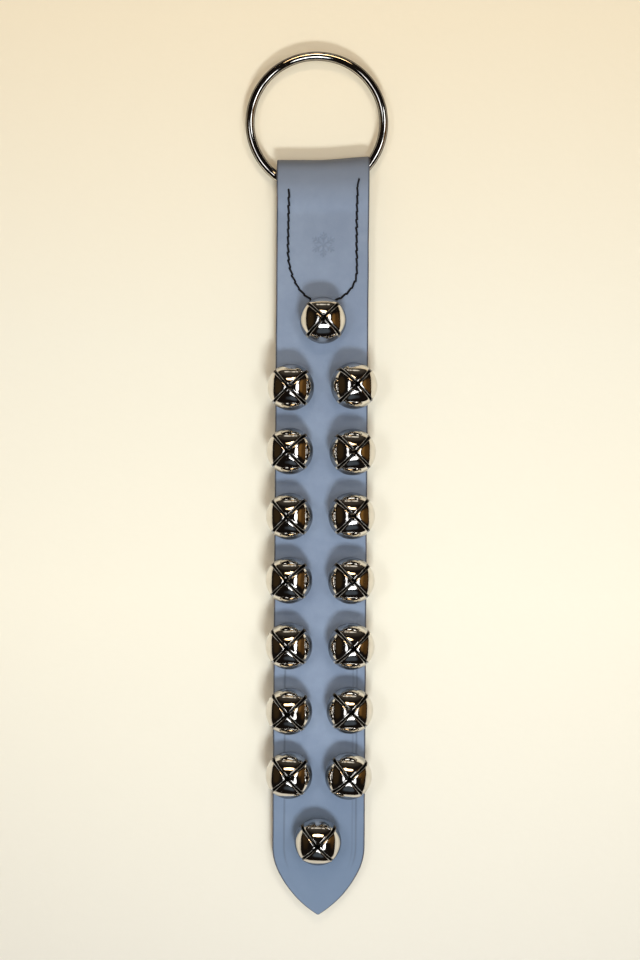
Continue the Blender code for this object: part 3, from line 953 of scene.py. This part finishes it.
def slit_half_width(depth):
    """Half of the slit's width at this depth: its blind end is round, and it narrows to the front."""
    past = depth - BELL_SLIT_BOTTOM
    if past <= 0:
        return 0.0
    if past >= BELL_SLIT_HALF:
        share = (past - BELL_SLIT_HALF) / (BELL_DEPTH - BELL_SLIT_BOTTOM - BELL_SLIT_HALF)
        return lerp(BELL_SLIT_HALF, BELL_SLIT_HALF_AT_TIPS, share)
    return sqrt(BELL_SLIT_HALF**2 - (BELL_SLIT_HALF - past) ** 2)


def lip_drop(radius, turn, slit_half):
    """How far the petal's edge is turned down at this place, from its distance to the slit."""
    from_slit = radius * sin(pi / 4 - abs(turn)) - slit_half
    return LIP_DROP * max(1 - max(from_slit, 0.0) / LIP_WIDTH, 0.0) ** 2


def shell_point(turn, tilt):
    """(radius, depth) of the shell's outer face in one direction from its axis.

    The tilt runs from 180 degrees at the back pole, over 90 at the widest section, to 0 at the front
    pole. The shell is round at its widest and squares up towards the front, as its four petals fold in.
    """
    if tilt > pi / 2:
        depth = BELL_WIDEST * (1 - (-cos(tilt)) ** BACK_POWER)
        return BELL_RADIUS * sin(tilt) ** BACK_POWER, depth
    power = FACE_SQUARENESS
    square = (abs(cos(turn)) ** power + abs(sin(turn)) ** power) ** (-1 / power)
    reach = lerp(square, 1.0, smoothstep(SQUARE_FROM, ROUND_DOWN_TO, tilt))
    return BELL_RADIUS * sin(tilt) * reach, lerp(BELL_WIDEST, BELL_DEPTH, cos(tilt))


def tilt_at(depth):
    if depth > BELL_WIDEST:
        return acos((depth - BELL_WIDEST) / (BELL_DEPTH - BELL_WIDEST))
    return pi - acos((1 - depth / BELL_WIDEST) ** (1 / BACK_POWER))


def petal_tilts():
    """The rows' tilts from the shank's hole to a petal's tip, close together where a slit starts."""
    hole = pi - asin((SHANK_HOLE / BELL_RADIUS) ** (1 / BACK_POWER))
    slit_start = tilt_at(BELL_SLIT_BOTTOM)
    tilts = [lerp(hole, slit_start, share) for share in shares(11)[:-1]]
    for share in (0.0, 0.03, 0.12, 0.3, 0.6, 1.0):
        tilts.append(tilt_at(BELL_SLIT_BOTTOM + BELL_SLIT_HALF * share))
    slit_full = tilts[-1]
    tip = asin(PETAL_TIP / BELL_RADIUS)
    tilts += [lerp(slit_full, tip, share) for share in shares(32)[1:]]
    return tilts


def build_shell_mesh():
    """One stamped shell: four petals, folded in from a round cup, with a slit along each diagonal."""
    bm = bmesh.new()
    columns = 22
    highlit_lips_from_y = BELL_BACK_Y - lerp(BELL_SLIT_BOTTOM, BELL_DEPTH, 0.3)
    for quarter in range(4):
        middle = quarter * pi / 2
        rows = []
        for tilt in petal_tilts():
            edge_radius, edge_depth = shell_point(pi / 4, tilt)
            slit_half = slit_half_width(edge_depth)
            trim = asin(slit_half / edge_radius)
            row = []
            for i in range(columns + 1):
                u = sin(pi / 2 * (2 * i / columns - 1))
                turn = u * (pi / 4 - trim)
                radius, depth = shell_point(turn, tilt)
                if tilt < pi / 2:
                    depth -= lip_drop(radius, turn, slit_half) * cos(tilt)
                angle = middle + turn
                place = (radius * cos(angle), BELL_BACK_Y - depth, radius * sin(angle))
                row.append(bm.verts.new(place))
            rows.append(row)
        for row, after in zip(rows, rows[1:]):
            for i in range(columns):
                face = bm.faces.new((row[i], row[i + 1], after[i + 1], after[i]))
                # The front faces beside the slits get the pale rim finish: a painted highlight along the
                # slits.
                at_slit = min(i, columns - 1 - i) < LIP_COLUMNS
                if at_slit and face.calc_center_median().y < highlit_lips_from_y:
                    face.material_index = SHELL_RIM_SLOT
    bmesh.ops.remove_doubles(bm, verts=bm.verts, dist=0.01 * MM)
    bmesh.ops.recalc_face_normals(bm, faces=bm.faces)
    middle = Vector((0.0, BELL_BACK_Y - BELL_WIDEST, 0.0))
    if sum(face.normal.dot(face.calc_center_median() - middle) for face in bm.faces) < 0:
        bmesh.ops.reverse_faces(bm, faces=bm.faces)
    shell = add_object("shell_template", mesh_from(bm, "shell_template", SHELL_FINISHES))
    wall = shell.modifiers.new("Wall", "SOLIDIFY")
    wall.thickness = BELL_WALL
    wall.offset = -1.0
    wall.material_offset = SHELL_INSIDE_SLOT
    wall.material_offset_rim = SHELL_RIM_SLOT
    rim = shell.modifiers.new("Rims", "BEVEL")
    rim.width = 0.2 * MM
    rim.segments = 2
    rim.limit_method = "ANGLE"
    rim.angle_limit = radians(50)
    rim.harden_normals = True
    rim.material = SHELL_RIM_SLOT
    apply_modifiers(shell)
    mesh = shell.data
    bpy.data.objects.remove(shell, do_unlink=True)
    return mesh


def loop_path(foot_y):
    """From one foot, spread inside the shell, out of its hole, round the wire and back to the other."""
    across = Vector((1.0, 0.0, 0.0))
    back = Vector((0.0, 1.0, 0.0))
    foot_end = Vector((LOOP_FOOT, foot_y + 0.1 * MM, 0.0))
    right = [foot_end, Vector((LOOP_FOOT - 0.8 * MM, foot_y, 0.0))]
    bend_centre = Vector((LOOP_HALF_SPAN + LOOP_BEND, foot_y + LOOP_BEND, 0.0))
    right += arc(bend_centre, across * LOOP_BEND, back * LOOP_BEND, -pi / 2, -pi, 6)
    turn_round = arc(Vector(), across * LOOP_HALF_SPAN, back * LOOP_HALF_SPAN, 0.0, pi, 16)
    left = [Vector((-point.x, point.y, 0.0)) for point in reversed(right)]
    return right + turn_round + left


def build_loop_mesh():
    bm = bmesh.new()
    foot_y = BELL_BACK_Y - BELL_WALL - 0.5 * MM - LOOP_WIRE
    sweep(bm, loop_path(foot_y), LOOP_WIRE, 16)
    bmesh.ops.recalc_face_normals(bm, faces=bm.faces)
    return mesh_from(bm, "shank_loop", (WIRE,))


def build_ball_mesh():
    """A slightly lumpy ball."""
    bm = bmesh.new()
    bmesh.ops.create_icosphere(bm, subdivisions=4, radius=PELLET_RADIUS)
    for vertex in bm.verts:
        vertex.co *= 1 + 0.02 * noise.noise(vertex.co * 500)
    return mesh_from(bm, "pellet", (PELLET,))


def build_bells():
    shell_mesh = build_shell_mesh()
    loop_mesh = build_loop_mesh()
    ball_mesh = build_ball_mesh()
    for bell, degrees in zip(BELLS, BELL_TURNS):
        name = bell.name
        own_turn = Matrix.Rotation(radians(degrees), 4, "Y")
        shell = add_object(f"{name}_nickel_shell", shell_mesh, bell.matrix @ own_turn)
        stand_in(shell, f"{name}_shell", name)
        loop_turn = Matrix.Rotation(0.0 if bell.in_column else pi / 2, 4, "Y")
        loop = add_object(f"{name}_shank", loop_mesh, bell.matrix @ loop_turn)
        stand_in(loop, f"{name}_loop", name)
        low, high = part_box(f"{name}_pellet")
        middle = Matrix.Translation((low + high) / 2 - FOLD_TOP)
        tumble = Matrix.Rotation(DICE.uniform(0, 6), 4, "X")
        tumble = tumble @ Matrix.Rotation(DICE.uniform(0, 6), 4, "Y")
        pellet = add_object(f"{name}_ball", ball_mesh, middle @ tumble)
        stand_in(pellet, f"{name}_pellet", f"{name}_pellet_body")


# ---- The wire behind the strap ----


def twisted_end(middle_x, y, low_z, high_z, phase):
    """One of the two strands of the wire's twisted ends, from its lower end up."""
    strand = []
    for share in shares(40):
        turn = phase + share * 2 * pi * TWIST_TURNS
        strand.append(Vector((middle_x + TWIST_REACH * cos(turn), y + TWIST_REACH * sin(turn),
                              lerp(low_z, high_z, share))))
    return strand


def wandering_run(pivots):
    """Points through one column's shanks, with a slight bend between each two of them."""
    points = [pivots[0]]
    for a, b in zip(pivots, pivots[1:]):
        bend = Vector((DICE.uniform(-0.5, 0.5) * MM, DICE.uniform(0.0, 0.35) * MM, 0.0))
        points += [(a + b) / 2 + bend, b]
    return points


def build_retaining_wire():
    """Through the shanks, slightly bent as it was threaded by hand, with its two ends twisted together."""
    top = BELLS[0].pivot
    bottom = BELLS[-1].pivot
    left = [bell.pivot for bell in BELLS if bell.in_column and bell.pivot.x < 0]
    right = [bell.pivot for bell in BELLS if bell.in_column and bell.pivot.x > 0]
    corner = 6 * MM
    twist_x = bottom.x - 7 * MM

    def at(x, z):
        return Vector((x, top.y, z))

    points = [at(twist_x + 1.6 * MM, bottom.z + 2.2 * MM), at(twist_x + 3.6 * MM, bottom.z), bottom,
              at(4 * MM, bottom.z + 0.2 * MM), at(right[-1].x - 3 * MM, bottom.z + corner),
              at(right[-1].x - 0.2 * MM, bottom.z + 2.6 * corner)]
    points += wandering_run(right[::-1])
    points += [at(right[0].x - 0.2 * MM, top.z - 2.6 * corner), at(right[0].x - 3 * MM, top.z - corner),
               at(4 * MM, top.z - 0.2 * MM), top, at(-4 * MM, top.z - 0.2 * MM),
               at(left[0].x + 3 * MM, top.z - corner), at(left[0].x + 0.2 * MM, top.z - 2.6 * corner)]
    points += wandering_run(left)
    points += [at(left[-1].x + 0.2 * MM, bottom.z + 2.2 * corner),
               at(left[-1].x + 2.4 * MM, bottom.z + 2 * MM), at(twist_x - 2.2 * MM, bottom.z + 1.2 * MM)]
    twist = (twist_x, top.y + 0.5 * MM, bottom.z + 5 * MM, bottom.z + 15 * MM)
    path = twisted_end(*twist, 0.0)[::-1] + smooth_path(points, 8) + twisted_end(*twist, pi)
    bm = bmesh.new()
    sweep(bm, path, RETAINING_WIRE, 12)
    wire = closed_skin(bm, "retaining_wire_bent", (WIRE,))
    stand_in(wire, "retaining_wire", "strap_body")


# ---- Stage: wall, floor, light, camera ----


def camera_faces_front(surface):
    """1 where the scene's camera looks towards the wall, and 0 from behind or from the side."""
    to_world = {"vector_type": "VECTOR", "convert_from": "CAMERA", "convert_to": "WORLD"}
    looks_along = surface.node("ShaderNodeVectorTransform", to_world, Vector=(0.0, 0.0, 1.0)).outputs[0]
    return surface.math("GREATER_THAN", surface.split(looks_along)["Y"], 0.3)


def build_wall():
    """A painted wall just behind the object, there only for a camera that looks at the front."""
    s = Surface("wall_cream_paint")
    peel = s.noise(190.0, 3.0, 0.55)
    fine = s.noise(520.0, 2.0, 0.5)
    height = s.split(s.place)["Z"]
    # Painted light and shade down the wall: warmer at the top, and darker towards the bottom, where the
    # lights fall off.
    colour = s.mix(s.ramp(height, 0.08, -0.10), (0.97, 0.86, 0.67), (0.93, 0.88, 0.76))
    colour = s.mix(s.ramp(height, -0.24, -0.44), colour, (0.75, 0.71, 0.64))
    normal = s.bump(peel, 0.5 * MM, 0.35, s.bump(fine, 0.15 * MM, 0.3))
    s.shade(Base_Color=colour, Roughness=0.6, Normal=normal)
    clear = s.node("ShaderNodeBsdfTransparent").outputs[0]
    blend = s.node("ShaderNodeMixShader")
    for socket, value in zip(blend.inputs, (camera_faces_front(s), clear, s.shader.outputs[0])):
        s.put(socket, value)
    s.put(s.tree.nodes["Material Output"].inputs["Surface"], blend.outputs[0])
    bm = bmesh.new()
    bmesh.ops.create_grid(bm, x_segments=1, y_segments=1, size=1.6)
    bmesh.ops.rotate(bm, verts=bm.verts, matrix=Matrix.Rotation(pi / 2, 3, "X"))
    wall = add_object("wall", mesh_from(bm, "wall", (s.material,), smooth=False))
    wall.location.y = WALL_Y
    keep_wall_clear_of_ring(wall)


def keep_wall_clear_of_ring(wall):
    """The wall stands further back while the ring is swung towards it."""
    reach = ring_high.z - JOINTS["hanging_ring_swing"]["pos_m"][2]
    curve = wall.driver_add("location", 1)
    swing = curve.driver.variables.new()
    swing.name = "swing"
    swing.type = "TRANSFORMS"
    swing.targets[0].id = frame["bodies"]["ring"]
    swing.targets[0].transform_type = "ROT_X"
    swing.targets[0].transform_space = "WORLD_SPACE"
    curve.driver.type = "SCRIPTED"
    curve.driver.expression = f"{WALL_Y:.5f} + max(0, {reach:.5f} * sin(-swing))"


def build_floor():
    """A wide pale floor. It glows a little, so that it stays pale beyond the reach of the lights."""
    s = Surface("floor_pale")
    grain = s.noise(60.0, 4.0)
    cloud = s.noise(1.3, 4.0)
    colour = s.mix(s.ramp(grain, 0.3, 0.7), (0.83, 0.80, 0.75), (0.89, 0.865, 0.82))
    colour = s.mix(s.ramp(cloud, 0.3, 0.7, 0.0, 0.4), colour, (0.80, 0.775, 0.735))
    s.shade(Base_Color=s.mix(0.6, colour, (0.0, 0.0, 0.0)), Roughness=0.7,
            Normal=s.bump(grain, 0.5 * MM, 0.2), Emission_Color=colour, Emission_Strength=0.8)
    bm = bmesh.new()
    bmesh.ops.create_grid(bm, x_segments=1, y_segments=1, size=25.0)
    mesh = mesh_from(bm, "floor", (s.material,), smooth=False)
    floor = add_object("floor", mesh, Matrix.Translation((0.0, 0.0, FLOOR_Z)))
    floor.visible_glossy = False
    floor.visible_diffuse = False


# What the bells reflect: a colour, the angles within which a patch is full and beyond which it is gone,
# and the patches as (turn to the right, turn up), in degrees
ROOM = (
    # the floor in front, and brown furniture to the left and right
    ((0.07, 0.085, 0.105), 7, 17, (4, -56)),
    ((0.035, 0.022, 0.010), 8, 24, (-62, 2)),
    ((0.22, 0.112, 0.030), 3, 17, (53, 3)),
    ((0.085, 0.042, 0.012), 3, 22, (72, 0)),
    # a window to each side, and a bright one low in front
    ((4.2, 4.35, 4.6), 4, 7, (30, 12), (30, -16)),
    ((4.2, 4.35, 4.6), 5, 8, (31, -2)),
    ((2.5, 2.6, 2.8), 3, 7, (-22, 5), (-22, -6)),
    ((4.6, 4.9, 5.3), 6, 9, (-1, -31), (10, -31)),
    # a warm lamp above, and dimmer ones high up
    ((7.0, 5.0, 2.8), 2.5, 6, (-9, 36)),
    ((11.0, 8.0, 4.6), 3, 7, (0, 38)),
    ((7.0, 5.0, 2.8), 2.5, 6, (9, 36)),
    ((0.9, 0.85, 0.75), 2, 5, (-34, 75), (0, 77), (34, 75)),
)


def build_world():
    """Pale to the camera and as soft fill light, but a dim warm room in the bells' reflections."""
    world = bpy.data.worlds.new("room")
    SCENE.world = world
    world.use_nodes = True
    world.node_tree.nodes.clear()
    s = Nodes(world.node_tree)
    direction = s.node("ShaderNodeTexCoord").outputs["Generated"]

    def bearing(azimuth, height):
        """Towards the camera's side, turned to the right and up by these degrees."""
        across = radians(azimuth)
        up = radians(height)
        return sin(across) * cos(up), -cos(across) * cos(up), sin(up)

    def lobe(towards, inner, outer):
        """1 within the inner angle of a direction, falling to 0 at the outer one, in degrees."""
        dot = s.node("ShaderNodeVectorMath", {"operation": "DOT_PRODUCT"})
        s.put(dot.inputs[0], direction)
        s.put(dot.inputs[1], Vector(towards).normalized())
        return s.ramp(dot.outputs["Value"], cos(radians(outer)), cos(radians(inner)), shape="SMOOTHSTEP")

    room = s.mix(lobe((0, 0, 1), 15, 45), (0.008, 0.006, 0.005), (0.06, 0.05, 0.04))
    for colour, inner, outer, *patches in ROOM:
        for patch in patches:
            room = s.mix(lobe(bearing(*patch), inner, outer), room, colour)
    room = s.mix(lobe((0, 1, 0), 60, 88), room, (0.55, 0.50, 0.42))
    ray = s.node("ShaderNodeLightPath").outputs
    fill = s.mix(lobe((0, 0, 1), 40, 110), (0.41, 0.35, 0.275), (0.205, 0.168, 0.125))
    plain = s.mix(ray["Is Camera Ray"], fill, (0.93, 0.91, 0.87))
    final = s.mix(ray["Is Glossy Ray"], plain, room)
    background = s.node("ShaderNodeBackground", Color=final)
    s.node("ShaderNodeOutputWorld", Surface=background.outputs[0])


def add_light(name, place, size, watts, colour):
    data = bpy.data.lights.new(name, "AREA")
    data.shape = "RECTANGLE"
    data.size = size[0]
    data.size_y = size[1]
    data.energy = watts
    data.color = colour
    light = bpy.data.objects.new(name, data)
    to_strap = Vector((0.0, 0.0, -0.2)) - Vector(place)
    aim = to_strap.to_track_quat("-Z", "Y").to_matrix().to_4x4()
    light.matrix_world = STRAP_FRAME @ Matrix.Translation(place) @ aim
    light.visible_camera = False
    light.visible_glossy = False
    SCENE.collection.objects.link(light)


def build_lights():
    """Soft panels round the camera: a cool main one below it, a warm lamp above, a window each side.

    They light the matt surfaces only. What the metal shows is in ROOM.
    """
    add_light("main_below", (0.10, -0.85, -0.64), (0.19, 0.12), 5.35, (0.90, 0.98, 1.0))
    add_light("window_right", (0.40, -1.2, -0.20), (0.20, 0.36), 2.2, (0.93, 0.98, 1.0))
    add_light("window_left", (-0.40, -1.2, -0.20), (0.16, 0.36), 1.9, (0.92, 0.98, 1.0))
    add_light("lamp_above", (0.0, -1.1, 0.36), (0.32, 0.11), 2.1, (1.0, 0.85, 0.66))
    add_light("behind", (0.5, 1.3, 0.1), (1.0, 1.0), 14.0, (1.0, 0.95, 0.87))


def build_camera():
    """Level with the object's middle and square to the strap, which hangs a touch off plumb."""
    width_seen = 351.4 * MM  # across the picture, at the strap's front face
    height_seen = width_seen * 960 / 640
    distance = 1.0
    data = bpy.data.cameras.new("camera")
    data.lens = data.sensor_width * distance / height_seen
    data.clip_start = 0.01
    data.clip_end = 60.0
    camera = bpy.data.objects.new("camera", data)
    SCENE.collection.objects.link(camera)
    place = Matrix.Translation((-0.55 * MM, -LEATHER - distance, -176 * MM))
    level = Matrix.Rotation(pi / 2, 4, "X")
    roll = Matrix.Rotation(radians(0.41), 4, "Z")
    camera.matrix_world = STRAP_FRAME @ place @ level @ roll
    SCENE.camera = camera


SCENE.view_settings.view_transform = "Standard"
build_strap()
build_stitches("stitching_front", "stitch_thread_front", -1)
build_stitches("stitching_back", "stitch_thread_back", 1)
build_ring()
build_bells()
build_retaining_wire()
build_wall()
build_floor()
build_world()
build_lights()
build_camera()
